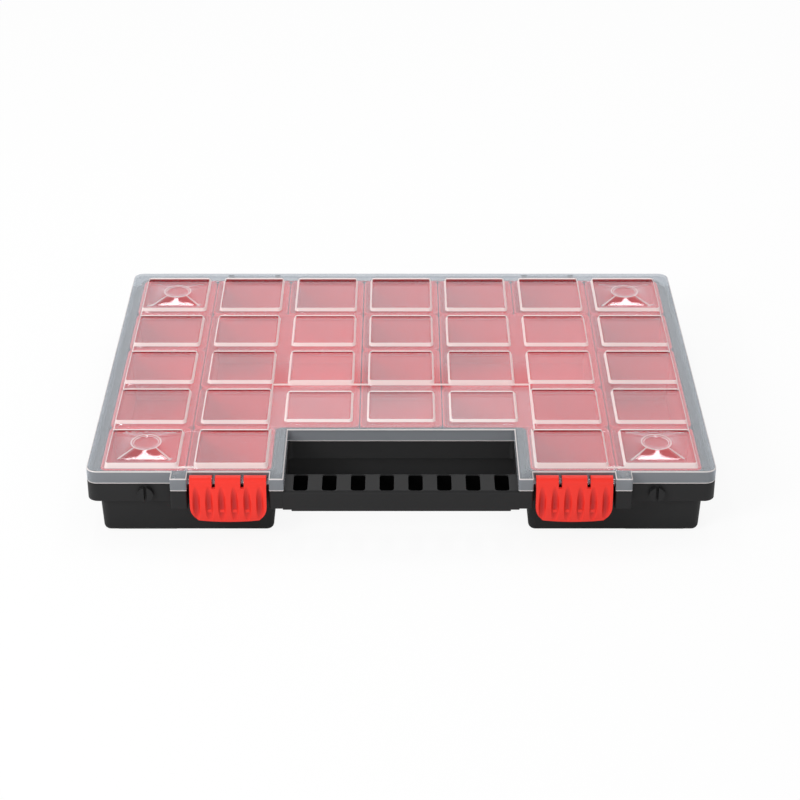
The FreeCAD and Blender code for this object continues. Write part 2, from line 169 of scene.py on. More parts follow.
def grid_quads(numbers):
    """Four-sided faces between neighbouring rows and columns of a grid of point numbers."""
    corners = [numbers[:-1, :-1], numbers[:-1, 1:], numbers[1:, 1:], numbers[1:, :-1]]
    return np.stack(corners, axis=2).reshape(-1, 4)


def wrapped(numbers):
    """The grid with its first column repeated at the end, so that its rows close."""
    return np.concatenate([numbers, numbers[:, :1]], axis=1)


weld_distance = 0.002 * mm


def make_piece(name, body, finish, points, faces, stands_for, crease=0.6, marks=()):
    """A mesh from points and faces, welded, faces outwards, smooth but for edges sharper than the crease.
    Each mark is a name with one number for every point, which the finish may read."""
    mesh = bpy.data.meshes.new(name)
    mesh.from_pydata(points.tolist(), [], [list(face) for face in faces])
    for mark, values in marks:
        mesh.attributes.new(mark, "FLOAT", "POINT").data.foreach_set("value", values)
    welder = bmesh.new()
    welder.from_mesh(mesh)
    bmesh.ops.remove_doubles(welder, verts=welder.verts, dist=weld_distance)
    bmesh.ops.recalc_face_normals(welder, faces=welder.faces)
    welder.to_mesh(mesh)
    welder.free()
    mesh.shade_smooth()
    mesh.set_sharp_from_angle(angle=crease)
    mesh.materials.append(finish)
    piece = bpy.data.objects.new(name, mesh)
    bpy.context.scene.collection.objects.link(piece)
    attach(piece, body)
    for node in stands_for:
        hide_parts(node)
    return piece


def arc(middle, radius, start, end, steps):
    """Points on a circle's arc, angles in quarter turns."""
    angle = np.linspace(start, end, steps) * np.pi / 2
    return np.stack([middle[0] + radius * np.cos(angle), middle[1] + radius * np.sin(angle)], axis=1)


def carry_round(profile, low, high, radius, steps):
    """Profile points (inset, height) carried round a rounded rectangle from corner low to corner high.
    At every inset a corner is a quarter circle about the same middle, its radius less the inset."""
    quarter = np.arange(4)[:, None] + np.linspace(0, 1, steps)
    angle = quarter.ravel() * np.pi / 2
    way = np.stack([np.cos(angle), np.sin(angle)], axis=1)
    side = np.repeat(np.array([[1, 1], [-1, 1], [-1, -1], [1, -1]]), steps, axis=0)
    middle = (low + high) / 2 + side * ((high - low) / 2 - radius)
    flat = middle + (radius - profile[:, 0])[:, None, None] * way
    height = np.broadcast_to(profile[:, 1, None, None], flat.shape[:2] + (1,))
    return np.concatenate([flat, height], axis=2)


bin_corner = 4.5 * mm
bin_wall = 1.4 * mm
bin_draft = 0.045
bin_foot_wall = 1.6 * mm
bin_foot_rise = 3.4 * mm
bin_floor = 1.4 * mm
bin_scoop = 1 * mm
bin_edge = 1 * mm
bin_edge_steps = 5
bin_round_steps = 9


def bin_profile(low, high):
    """Inset and height of a bin's wall: from under its floor down the foot ring, round the lower edge,
    up the drafted outside, over the round rim, down the inside and round the scoop to the floor."""
    foot = bin_draft * (high - low)
    floor_top = low + bin_foot_rise + bin_floor
    inner_foot = foot + bin_foot_wall
    inside_low = bin_wall + bin_draft * (high - floor_top)
    lip = bin_wall / 2
    return np.concatenate([
        [[inner_foot, floor_top - bin_floor], [inner_foot, low]],
        arc((foot + bin_edge, low + bin_edge), bin_edge, 3, 2, bin_edge_steps),
        arc((lip, high - lip), lip, 2, 0, bin_round_steps),
        arc((inside_low + bin_scoop, floor_top + bin_scoop), bin_scoop, 2, 3, bin_round_steps),
    ])


bin_finish = moulded_plastic("red bin plastic", pale=(0.95, 0.026, 0.032), deep=(0.87, 0.021, 0.026),
                             roughness=0.3, gloss=0.5, grain_size=0.7 * mm, grain_depth=0.02 * mm)
bin_names = [name for name in sorted(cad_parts) if "_bin_" in name]
for name in bin_names:
    low, high = (np.array(corner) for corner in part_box(name))
    rows = carry_round(bin_profile(low[2], high[2]), low[:2], high[:2], bin_corner, bin_round_steps)
    numbers = np.arange(rows.shape[0] * rows.shape[1]).reshape(rows.shape[:2])
    faces = [*grid_quads(wrapped(numbers)).tolist(), numbers[0].tolist(), numbers[-1].tolist()]
    make_piece(f"{name}_shell", name, bin_finish, rows.reshape(-1, 3), faces, [name])

# Lid
# One thin milky clear polypropylene moulding: skirt, plateau, square pads, four stacking nubs.
# It turns on stub pins at the back, and carries the latches' axle bars between lugs at the front.
lid_wall = 1.6 * mm
lid_edge = 0.8 * mm
lid_corner = 7 * mm
lid_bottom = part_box("lid_skirt")[0].z
skirt_height = 9 * mm
border_top = lid_bottom + skirt_height
lid_side = 199.5 * mm
lid_front = -140.4 * mm
lid_back = 146.6 * mm
lug_front = -149.5 * mm
notch_side = 73.9 * mm
notch_back = -87.3 * mm
pocket_sides = (83.2 * mm, 134.8 * mm)
outer_lug = 145.4 * mm
hinge_x = 110 * mm
ear_slot = (15 * mm, 19.8 * mm)
ear_slot_height = 6.6 * mm
ear_slot_top = lid_bottom + ear_slot_height

# Right half of the outline, from the notch round the lugs to the back corner
right_half = [
    (notch_side, notch_back), (notch_side, lug_front),
    (pocket_sides[0], lug_front), (pocket_sides[0], lid_front),
    (pocket_sides[1], lid_front), (pocket_sides[1], lug_front),
    (outer_lug, lug_front), (outer_lug, lid_front),
    (lid_side, lid_front), (lid_side, lid_back),
]
outline = np.array(right_half + [(-x, y) for x, y in reversed(right_half)])


def inset_corners(corners, inset):
    """Square corners moved inwards: each along the inward normals of the sides that meet there."""
    arriving = np.sign(corners - np.roll(corners, 1, axis=0))
    towards = arriving + np.roll(arriving, -1, axis=0)
    return corners + inset * np.stack([-towards[:, 1], towards[:, 0]], axis=1)


# Raised forms, each a rectangle given by its left, right, front and back edges
plateau_rise = 1.2 * mm
pad_rise = 2.4 * mm
low_pad_rise = 1.8 * mm
pad_pitch = 54.4 * mm
pad_half = 22.65 * mm
back_row = 103.3 * mm
row_count, column_count = 5, 7
notch_rows = (3, 4)
notch_columns = (2, 3, 4)
pad_rows = back_row - pad_pitch * np.arange(row_count)
pad_columns = pad_pitch * (np.arange(column_count) - (column_count - 1) / 2)
plateau_side = 188 * mm
plateau_back = 132.4 * mm
plateau_front = -136.8 * mm
plateau_notch = 84.3 * mm
plateau_lap = 5 * mm
row_seam = (pad_rows[-2] + pad_rows[-1]) / 2
low_side = pad_columns[notch_columns[-1] + 1] - pad_half
low_back = pad_rows[notch_rows[0] - 1] - pad_half
low_pad_front = -78.1 * mm
low_pad_back = -37.2 * mm

plateaus = [(-plateau_side, plateau_side, low_back, plateau_back)]
for side in (-1, 1):
    plateaus.append((*sorted((side * low_side, side * plateau_side)), row_seam - plateau_lap, plateau_back))
    plateaus.append((*sorted((side * plateau_notch, side * plateau_side)), plateau_front, row_seam))
low_pads = [(x - pad_half, x + pad_half, low_pad_front, low_pad_back) for x in pad_columns[list(notch_columns)]]
pads = []
for row, y in enumerate(pad_rows):
    for column, x in enumerate(pad_columns):
        if row in notch_rows and column in notch_columns:
            continue
        left = x - pad_half if column else -plateau_side
        right = x + pad_half if column < column_count - 1 else plateau_side
        front = y - pad_half if row < row_count - 1 else plateau_front
        back = y + pad_half if row else plateau_back
        if row == row_count - 1 and column == notch_columns[0] - 1:
            right = -plateau_notch
        if row == row_count - 1 and column == notch_columns[-1] + 1:
            left = plateau_notch
        pads.append((left, right, front, back))

step_run = 1.3 * mm
pad_corner = 3 * mm
nub_half = 16.75 * mm
nub_places = [(x, y) for x in pad_columns[[0, -1]] for y in pad_rows[[0, -1]]]
far_pads = pads[:column_count]
near_pads = pads[column_count:] + low_pads

# Where each pad's back line, its band painted dark as shade and its salmon band end, counted forwards from its
# back edge
near_band_ends = np.array([2.6, 5, 7.3]) * mm
far_band_ends = np.array([3.3, 8.3, 12.3]) * mm

# Grid lines at each wall, on both sides of the bands' ends, and in the lid's corners
wall_lines = np.array([0, 0.3, 0.65, 1, 1.3, 1.6, 2.1, 2.5, 2.9]) * mm
band_lines = np.array([-0.1, 0.2]) * mm
corner_lines = np.array([2, 2.8, 3.8, 5.2, 7]) * mm
nub_steps = 17
line_room = 0.12 * mm


def depth_inside(x, y, rectangles, corner):
    """How far a point lies inside the nearest of some rounded rectangles, below 0 outside them all."""
    left, right, front, back = np.array(rectangles).T.reshape(4, -1, *[1] * x.ndim)
    from_x = np.abs(x - (left + right) / 2) - (right - left) / 2 + corner
    from_y = np.abs(y - (front + back) / 2) - (back - front) / 2 + corner
    beyond = np.hypot(np.maximum(from_x, 0), np.maximum(from_y, 0))
    outside = beyond + np.minimum(np.maximum(from_x, from_y), 0)
    return (corner - outside).max(axis=0)


def rise(x, y, rectangles, inset, corner):
    """Share from 0 to 1 that a point has climbed onto some rounded rectangles:
    its depth inside one, less the inset, over the run of the wall, smoothed as 3 t t - 2 t t t."""
    share = np.clip((depth_inside(x, y, rectangles, corner) - inset) / step_run, 0, 1)
    return share * share * (3 - 2 * share)


def lid_height(x, y, inset):
    """Height of the lid's top, or at a wall's inset of its underside: border, plateau and pads added up."""
    tall = plateau_rise * rise(x, y, plateaus, inset, 0) + pad_rise * rise(x, y, pads, inset, pad_corner)
    return border_top - inset + tall + low_pad_rise * rise(x, y, low_pads, inset, pad_corner)


def grid_lines(axis):
    """Lines of the grid on one axis, for the top and the underside: the outline's corners moved in,
    and fine steps at every wall, corner and nub, with none between the two places of a corner."""
    which = np.unique(outline[:, axis], return_index=True)[1]
    fixed = np.stack([inset_corners(outline, inset)[which, axis] for inset in (lid_edge, lid_wall)])
    edges = np.array(plateaus + pads + low_pads)[:, 2 * axis:2 * axis + 2]
    walls = np.concatenate([(edges[:, :1] + wall_lines).ravel(), (edges[:, 1:] - wall_lines).ravel()])
    # The near pads' first band ends between two lines of their walls
    banded = ((near_pads, near_band_ends[1:]), (far_pads, far_band_ends))
    bands = [back - band_ends - line for rectangles, band_ends in banded for line in band_lines
             for left, right, front, back in rectangles]
    ends = np.array([[-lid_side, lid_side], [lid_front, lid_back]])[axis]
    rounds = np.concatenate([ends[0] + corner_lines, ends[1] - corner_lines])
    nubs = (np.array(nub_places)[:, axis, None] + np.linspace(-nub_half, nub_half, nub_steps)).ravel()
    slots = [middle + way * edge for middle in (-hinge_x, hinge_x) for way in (-1, 1) for edge in ear_slot]
    free = np.unique(np.concatenate([walls, rounds, nubs, *(bands if axis else [slots])]).round(5))
    low, high = fixed.min(axis=0) - line_room, fixed.max(axis=0) + line_room
    free = free[((free[:, None] < low) | (free[:, None] > high)).all(axis=1)]
    lines = np.concatenate([fixed, np.stack([free, free])], axis=1)
    return lines[:, lines[0].argsort()]


def inside(x, y, corners):
    """Whether points lie inside square corners: an odd number of upright sides stands to their right."""
    start, end = corners, np.roll(corners, -1, axis=0)
    upright = start[:, 0] == end[:, 0]
    start, end = start[upright, :, None, None], end[upright, :, None, None]
    beside = (y > np.minimum(start[:, 1], end[:, 1])) & (y < np.maximum(start[:, 1], end[:, 1]))
    return (beside & (x < start[:, 0])).sum(axis=0) % 2 == 1


least_length = 0.001 * mm


def round_corners(x, y):
    """The grid with its four outer corners turned from squares to quarter circles:
    a point keeps its bearing from the corner's middle, and its larger distance becomes its radius."""
    for side_x in (-1, 1):
        for side_y, edge_y in ((-1, lid_front), (1, lid_back)):
            far_x = (x - side_x * (lid_side - lid_corner)) * side_x
            far_y = (y - edge_y) * side_y + lid_corner
            in_corner = (far_x > 0) & (far_y > 0)
            away = np.hypot(far_x, far_y).clip(least_length)
            shrink = np.where(in_corner, np.maximum(far_x, far_y) / away, 1) - 1
            x = x + side_x * far_x * shrink
            y = y + side_y * far_y * shrink
    return x, y


def grid_path(lines_x, lines_y, corners):
    """Column and row of each grid point on the way round square corners."""
    ends = np.stack([np.abs(lines[:, None] - places).argmin(axis=0)
                     for lines, places in ((lines_x, corners[:, 0]), (lines_y, corners[:, 1]))], axis=1)
    runs = [start + np.arange(np.abs(end - start).max())[:, None] * np.sign(end - start)
            for start, end in zip(ends, np.roll(ends, -1, axis=0))]
    return np.concatenate(runs)


fan_steps = 5
sharp_turn = 0.8


def outward_fan(path):
    """Numbers of a path's points and their outward normals. A gentle bend gets one mitred normal,
    a sharp outer corner is repeated with normals that swing from one side's to the other's."""
    arriving = path - np.roll(path, 1, axis=0)
    arriving = arriving / np.linalg.norm(arriving, axis=1, keepdims=True)
    leaving = np.roll(arriving, -1, axis=0)
    before = np.stack([arriving[:, 1], -arriving[:, 0]], axis=1)
    after = np.stack([leaving[:, 1], -leaving[:, 0]], axis=1)
    sharp = arriving[:, 0] * leaving[:, 1] - arriving[:, 1] * leaving[:, 0] > sharp_turn
    repeats = np.where(sharp, fan_steps, 1)
    number = np.repeat(np.arange(len(path)), repeats)
    first = np.repeat(np.cumsum(repeats) - repeats, repeats)
    swing = ((np.arange(len(number)) - first) / (fan_steps - 1) * np.pi / 2)[:, None]
    mitre = (before + after) / (1 + (before * after).sum(axis=1, keepdims=True))
    fan = before[number] * np.cos(swing) + after[number] * np.sin(swing)
    return number, np.where(sharp[number, None], fan, mitre[number])


def patch(points, faces):
    """Only the points that the faces use, with the faces renumbered."""
    used, numbers = np.unique(faces, return_inverse=True)
    return points.reshape(-1, 3)[used], numbers.reshape(faces.shape)


def strip(loops):
    """Faces along loops of points that close on themselves, one loop after another."""
    loops = np.array(loops)
    numbers = np.arange(loops.shape[0] * loops.shape[1]).reshape(loops.shape[:2])
    return patch(loops, grid_quads(wrapped(numbers)))


def joined(patches):
    """Several patches as one list of points and one of faces."""
    starts = np.cumsum([0] + [len(points) for points, faces in patches])
    faces = np.concatenate([faces + start for (points, faces), start in zip(patches, starts)])
    return np.concatenate([points for points, faces in patches]), faces


def level(path, height):
    """A flat path at a height."""
    return np.concatenate([path, np.broadcast_to(height, (len(path), 1))], axis=1)


rim_round = 0.4 * mm
rim_band = 1.1 * mm
bend_steps = 5


def lid_sheets():
    """The lid's top and underside as height fields over the outline, less a square under each nub,
    and the skirt's loops from the top's edge round the rim to the underside's edge."""
    lines_x, lines_y = grid_lines(0), grid_lines(1)
    middle_x = (lines_x[0, 1:] + lines_x[0, :-1])[None, :] / 2
    middle_y = (lines_y[0, 1:] + lines_y[0, :-1])[:, None] / 2
    kept = inside(middle_x, middle_y, inset_corners(outline, lid_edge))
    for x, y in nub_places:
        kept &= (np.abs(middle_x - x) > nub_half) | (np.abs(middle_y - y) > nub_half)
    numbers = np.arange(len(lines_x[0]) * len(lines_y[0])).reshape(len(lines_y[0]), -1)
    faces = grid_quads(numbers)[kept.ravel()]
    along = grid_path(lines_x[0], lines_y[0], inset_corners(outline, lid_edge))
    patches, edges, grids = [], [], []
    for sheet, inset in enumerate((0, lid_wall)):
        x, y = round_corners(*np.meshgrid(lines_x[sheet], lines_y[sheet]))
        points = np.stack([x, y, lid_height(x, y, inset)], axis=2)
        patches.append(patch(points, faces))
        edges.append(points[along[:, 1], along[:, 0], :2])
        grids.append(points)
    number, normal = outward_fan(edges[0])
    bend = np.linspace(0, np.pi / 2, bend_steps)
    outer = [(lid_edge * np.sin(a), border_top - lid_edge * (1 - np.cos(a))) for a in bend]
    outer += [(lid_edge, ear_slot_top), (lid_edge, lid_bottom + rim_band)]
    outer += [(lid_edge - rim_round * (1 - np.cos(a)), lid_bottom + rim_round * (1 - np.sin(a))) for a in bend]
    inner = [(rim_round * (1 - np.sin(a)), lid_bottom + rim_round * (1 - np.cos(a))) for a in bend]
    inner += [(0, lid_bottom + rim_band), (0, ear_slot_top), (0, border_top - lid_wall)]
    loops = [level(edges[0][number] + out * normal, height) for out, height in outer]
    loops += [level(edges[1][number] + out * normal, height) for out, height in inner]
    patches.append(slotted_skirt(np.array(loops)))
    for x, y in nub_places:
        corners = np.array([(x - nub_half, y - nub_half), (x + nub_half, y - nub_half),
                            (x + nub_half, y + nub_half), (x - nub_half, y + nub_half)])
        around = grid_path(lines_x[0], lines_y[0], corners)
        patches += [nub_skin(grid[around[:, 1], around[:, 0]], (x, y), inset)
                    for grid, inset in zip(grids, (0, lid_wall))]
    return patches


def slotted_skirt(loops):
    """The skirt's loops as faces, with a slot for each hinge ear left out of the back: from the loop below
    the bend, down round the rim to the last but one, and closed again by two flat sides and a roof."""
    count, length = loops.shape[:2]
    numbers = np.arange(count * length).reshape(count, length)
    following = np.roll(loops[0], -1, axis=0)
    middle = (loops[0] + following) / 2
    beside = np.abs(np.abs(middle[:, 0]) - hinge_x)
    slotted = (middle[:, 1] > lid_back - lid_wall) & (beside > ear_slot[0]) & (beside < ear_slot[1])
    top, end = bend_steps, count - 2
    ring = wrapped(numbers)
    quads = grid_quads(ring).reshape(count - 1, length, 4)
    open_part = np.zeros((count - 1, length), bool)
    open_part[top:end] = slotted
    columns = np.flatnonzero(slotted)
    roof = [ring[top, columns], ring[top, columns + 1], ring[end, columns + 1], ring[end, columns]]
    faces = [quads[~open_part], np.stack(roof, axis=1)]
    sides = [c for c in columns if not slotted[c - 1]] + [c + 1 for c in columns if not slotted[c + 1]]
    near, far = np.arange(top, (top + end) // 2), np.arange(end, (top + end + 1) // 2, -1)
    for column in sides:
        side = ring[:, column]
        faces.append(np.stack([side[near], side[near + 1], side[far - 1], side[far]], axis=1))
    return patch(loops, np.concatenate(faces))


nub_radius = 10 * mm
nub_rise = 2.8 * mm
nub_dish_radius = 7.9 * mm
nub_dish_depth = 0.5 * mm
nub_round = 0.4 * mm
nub_flank_shares = (0.02, 0.1, 0.3, 0.5, 0.7, 0.9, 0.97)


def nub_skin(foot, place, inset):
    """A nub over its square foot: straight lines from the square to a circle, then the ring and its dish.
    A point on the flank is (1 - t) times the square's plus t times the circle's, t from 0 to 1."""
    from_middle = foot[:, :2] - place
    bearing = from_middle / np.linalg.norm(from_middle, axis=1, keepdims=True)
    square = place + from_middle * (1 - inset / nub_half)
    base = foot[0, 2]
    top = base + nub_rise
    ring = nub_radius - inset
    loops = [foot, level(square, base)]
    loops += [level((1 - t) * square + t * (place + ring * bearing), base + nub_rise * t)
              for t in nub_flank_shares]
    dish = nub_dish_radius - inset
    floor = top - (0 if inset else nub_dish_depth)
    for radius, height in ((ring - nub_round, top), (dish + nub_round, top), (dish, (top + floor) / 2),
                           (dish - nub_round, floor), (dish / 2, floor), (0, floor)):
        loops.append(level(place + radius * bearing, height))
    return strip(loops)


bar_steps = 28


def turned_bar(low_x, high_x, y, z, radius, chamfer):
    """A round bar along X: radius and place along X carried round a circle, closed at both ends."""
    ends = np.array([(low_x, 0), (low_x, radius - chamfer), (low_x + chamfer, radius),
                     (high_x - chamfer, radius), (high_x, radius - chamfer), (high_x, 0)])
    angle = np.linspace(0, 2 * np.pi, bar_steps, endpoint=False)
    loops = np.stack([np.broadcast_to(ends[:, :1], (len(ends), bar_steps)), y + ends[:, 1:] * np.cos(angle),
                      z + ends[:, 1:] * np.sin(angle)], axis=2)
    return strip(loops)


block_steps = 4


def rounded_block(low, high, edge):
    """A block with rounded edges: a profile that turns in at both ends, carried round a rectangle.
    At its ends each corner's arc has shrunk to a point, so that one four-sided face closes each end."""
    turn = np.linspace(0, np.pi / 2, block_steps)
    profile = np.concatenate([
        np.stack([edge * (1 - np.sin(turn)), low[2] + edge * (1 - np.cos(turn))], axis=1),
        np.stack([edge * (1 - np.cos(turn)), high[2] - edge * (1 - np.sin(turn))], axis=1)])
    points, faces = strip(carry_round(profile, np.array(low[:2]), np.array(high[:2]), edge, block_steps))
    lower_end = block_steps * np.arange(4)
    upper_end = lower_end + len(points) - 4 * block_steps
    return points, np.concatenate([faces, [lower_end, upper_end]])


latch_x = 109 * mm
axle_y = -145.5 * mm
axle_drop = 4.1 * mm
axle_z = border_top - axle_drop
axle_radius = 2 * mm
rib_spread = 9 * mm
rib_half_width = 0.7 * mm
rib_half_height = 1.5 * mm
rib_edge = 0.2 * mm
hinge_behind = 2 * mm
hinge_rise = 3.3 * mm
hinge_y = lid_back + hinge_behind
hinge_z = lid_bottom + hinge_rise
hinge_barrel_half, hinge_barrel_radius = 15 * mm, 2.9 * mm
hinge_pin_half, hinge_pin_radius = 19.4 * mm, 1.6 * mm
bar_chamfer = 0.4 * mm
grip = lid_wall / 2
lid_parts = lid_sheets()
for side in (-1, 1):
    pocket = sorted((side * pocket_sides[0], side * pocket_sides[1]))
    lid_parts.append(turned_bar(pocket[0] - grip, pocket[1] + grip, axle_y, axle_z, axle_radius, bar_chamfer))
    for rib_x in (side * latch_x - rib_spread, side * latch_x + rib_spread):
        rib_low = (rib_x - rib_half_width, axle_y, axle_z - rib_half_height)
        rib_high = (rib_x + rib_half_width, lid_front + grip, axle_z + rib_half_height)
        lid_parts.append(rounded_block(rib_low, rib_high, rib_edge))
    middle = side * hinge_x
    for half, radius in ((hinge_barrel_half, hinge_barrel_radius), (hinge_pin_half, hinge_pin_radius)):
        lid_parts.append(turned_bar(middle - half, middle + half, hinge_y, hinge_z, radius, bar_chamfer))

lid_cloud_size = 60 * mm
cloud_milk = 0.03
clear_colour = (0.97, 0.975, 0.98, 1)
painted_shade_colour = (0.50, 0.52, 0.55, 1)
gloss_colour = (0.9, 0.95, 1, 1)
gloss_roughness = 0.07
straight_sheen = 0.07
sheen_power = 4
cool_milk_colour = (0.8, 0.9, 1, 1)
warm_milk_colour = (1, 0.93, 0.91, 1)
warming = 1.6
milk_glow = 0.2


def clear_plastic(name):
    """Clear plastic with a faint veil of milk. Its marks say where it has milk, from outside and from within,
    where what is seen through it is darkened, where a back wall guides light down within it, and where the
    gloss is cut. The milk on frames, edge lines and rims is painted highlight, and on walls partly haze and
    partly painted highlight; the darkening on the skirt and in a band before each pad's back edge, and the
    gloss cut in the bands there, are painted shade. The gloss grows with a power of the slant, and thick milk,
    mostly the painted highlights, is warm."""
    material, place = start_finish(name)
    cloud = speckle(place, lid_cloud_size, 2)
    milk_and_painted_highlight, inner_painted_highlight, painted_shade, guide, quiet = (
        mark_share(place, mark) for mark in ("milk_and_painted_highlight", "inner_painted_highlight", "painted_shade", "guide", "quiet"))
    behind = place.node("ShaderNodeNewGeometry", {}, {}, output="Backfacing")
    clear = place.node("ShaderNodeBsdfTransparent", {}, {"Color": clear_colour})
    # A darker see-through, mixed in by its mark: painted shade
    painted_shade_through = place.node("ShaderNodeBsdfTransparent", {}, {"Color": painted_shade_colour})
    gloss = place.node("ShaderNodeBsdfGlossy", {}, {"Color": gloss_colour, "Roughness": gloss_roughness})
    slant = place.node("ShaderNodeLayerWeight", {}, {"Blend": 0.5}, output="Facing")
    sheen = straight_sheen + (1 - straight_sheen) * place.maths("POWER", slant, sheen_power)
    shine = place.maths("MAXIMUM", sheen * (1 - quiet), guide * behind)
    body = layer(place, shine, layer(place, painted_shade, clear, painted_shade_through), gloss)
    warmth = place.maths("MINIMUM", warming * place.maths("MAXIMUM", milk_and_painted_highlight, inner_painted_highlight), 1)
    veils = []
    for tint in (cool_milk_colour, warm_milk_colour):
        facing_light = place.node("ShaderNodeBsdfDiffuse", {}, {"Color": tint})
        light_through = place.node("ShaderNodeBsdfTranslucent", {}, {"Color": tint})
        veils.append(layer(place, milk_glow, facing_light, light_through))
    milk = (milk_and_painted_highlight + cloud_milk * cloud * (1 - quiet)) * (1 - behind) + inner_painted_highlight * behind
    mixed = layer(place, milk, body, layer(place, warmth, *veils))
    place.node("ShaderNodeOutputMaterial", {}, {"Surface": mixed})
    return material


def mesh_values(values, count, kind="value"):
    """All numbers of one kind in a list of a mesh, read in one go."""
    found = np.empty(count, np.float32)
    values.foreach_get(kind, found)
    return found


top_sheet, under_sheet, skirt_sheet, nub_sheet, fitting = 1, 2, 3, 4, 5
lid_finish = clear_plastic("clear lid plastic")
lid_points, lid_faces = joined(lid_parts)
sheet_kinds = [top_sheet, under_sheet, skirt_sheet] + [nub_sheet, under_sheet] * len(nub_places)
sheet_kinds += [fitting] * (len(lid_parts) - len(sheet_kinds))
sheet_marks = np.repeat(sheet_kinds, [len(points) for points, faces in lid_parts]).astype(np.float32)
lid = make_piece("lid_moulding", "lid", lid_finish, lid_points, lid_faces.tolist(),
                 ["lid", "lid_skirt"], marks=[("sheet", sheet_marks)])

# The welded lid's points and normals, for marks on its edges, walls and flats
lid_count = len(lid.data.vertices)
sheet = mesh_values(lid.data.attributes["sheet"].data, lid_count).round()
facing = mesh_values(lid.data.vertex_normals, 3 * lid_count, "vector").reshape(-1, 3)
x, y, z = mesh_values(lid.data.vertices, 3 * lid_count, "co").reshape(-1, 3).T
on_top = sheet == top_sheet
on_skirt = sheet == skirt_sheet

# Painted highlight lines along the skirt's upper bend and lower rim
bend_shares = (0.05, 0.7)
rim_share = 0.5
in_bend = (z > border_top - bend_shares[1] * lid_edge) & (z < border_top - bend_shares[0] * lid_edge)
rim = on_skirt & (in_bend | (z < lid_bottom + rim_share * rim_band))

# Painted highlight lines round each nub's ring and dish, down its front corners and along its back edge
ring_line_half = 0.2 * mm
corner_line_half = 0.3 * mm
nub_back_line = 0.6 * mm
to_nubs = np.array([x, y]) - np.array(nub_places)[:, :, None]
aside, along = to_nubs[np.hypot(*to_nubs.swapaxes(0, 1)).argmin(axis=0), :, np.arange(lid_count)].T
from_nub = np.hypot(aside, along)
front_corner = (np.abs(np.abs(aside) + along) < corner_line_half) & (along < 0)
nub_lines = [np.abs(from_nub - nub_dish_radius) < ring_line_half,
             np.abs(from_nub - nub_radius + nub_round) < ring_line_half,
             (from_nub > nub_radius) & (front_corner | (along > nub_half - nub_back_line))]
ring_line = (sheet == nub_sheet) & np.any(nub_lines, axis=0)

# Pale walls and frames round the pads: the frames are painted highlight lines, the walls partly haze and partly
# painted highlight
frame_line = (0.15 * mm, 1.4 * mm)
flat_facing = 0.93
wall_facing_range = 0.25
frame_depth = depth_inside(x, y, pads + low_pads, pad_corner)
framed = on_top & (frame_depth > frame_line[0]) & (frame_depth < frame_line[1])
steepness = np.clip((flat_facing - np.abs(facing[:, 2])) / wall_facing_range, 0, 1)
walls = np.maximum(steepness * on_top, framed)


def in_back_band(band):
    """Whether points of the lid lie in one band before a pad's back edge, from the end of the band before it to
    its own end: 0 for the back line, a painted highlight, 1 for the band painted dark as shade, 2 for the
    salmon one, where milk and gloss are thinned."""
    found = np.zeros(lid_count, bool)
    for rectangles, ends in ((near_pads, near_band_ends), (far_pads, far_band_ends)):
        start = ends[band - 1] if band else 0
        left, right, front, back = np.array(rectangles).T[:, :, None]
        found |= ((x > left) & (x < right) & (back - y > start) & (back - y < ends[band])).any(axis=0)
    return found


# Behind each pad's back edge: a line of painted highlight, then a band painted dark as shade, then a salmon
# band with its milk and gloss thinned
on_pad = (sheet <= under_sheet) & (frame_depth > frame_line[1])
back_line = in_back_band(0) & on_top & (frame_depth > frame_line[0])
painted_dark_band = in_back_band(1) & on_pad
salmon = in_back_band(2) & on_pad
border = on_top & (depth_inside(x, y, plateaus, 0) < 0)

# How much milk each of them has, the extra milk on walls, frames and edge lines being painted highlight, how
# much painted shade darkens what is seen through it, how much light a back wall guides down, and how much gloss
# is cut, from 0 to 1
flat_milk, border_milk, skirt_milk = 0.075, 0.11, 0.11
painted_wall_highlight, painted_inner_wall_highlight, painted_back_line_highlight, painted_ring_highlight, painted_rim_highlight = 0.75, 0.8, 0.85, 0.6, 0.55
salmon_clearing = 0.5
band_painted_shade = 0.8
wall_guide = 0.95
dark_band_gloss_cut, salmon_quiet = 0.9, 0.4
side_facing, back_facing = 0.3, 0.4
# The plastic's own haze, thinned in the painted dark band and the salmon band, plus painted highlight on walls,
# frames, back lines, nub lines and rims
milk_and_painted_highlight = flat_milk * (1 - painted_dark_band - salmon_clearing * salmon) + border_milk * border
milk_and_painted_highlight += np.maximum(painted_wall_highlight * walls, painted_back_line_highlight * back_line) + painted_ring_highlight * ring_line
milk_and_painted_highlight += on_skirt * (skirt_milk + painted_rim_highlight * rim)
# The skirt and the band behind each pad's back edge are darkened as painted shade, and the gloss is cut in the
# bands before each back edge
lid_marks = {
    "milk_and_painted_highlight": milk_and_painted_highlight,
    "inner_painted_highlight": painted_inner_wall_highlight * walls * (np.abs(facing[:, 0]) > side_facing),
    "painted_shade": np.maximum(on_skirt, band_painted_shade * painted_dark_band * on_top),
    "guide": wall_guide * (walls > 0) * (facing[:, 1] > back_facing),
    "quiet": dark_band_gloss_cut * painted_dark_band + salmon_quiet * salmon,
}
for mark, values in lid_marks.items():
    lid.data.attributes.new(mark, "FLOAT", "POINT").data.foreach_set("value", values.astype(np.float32))

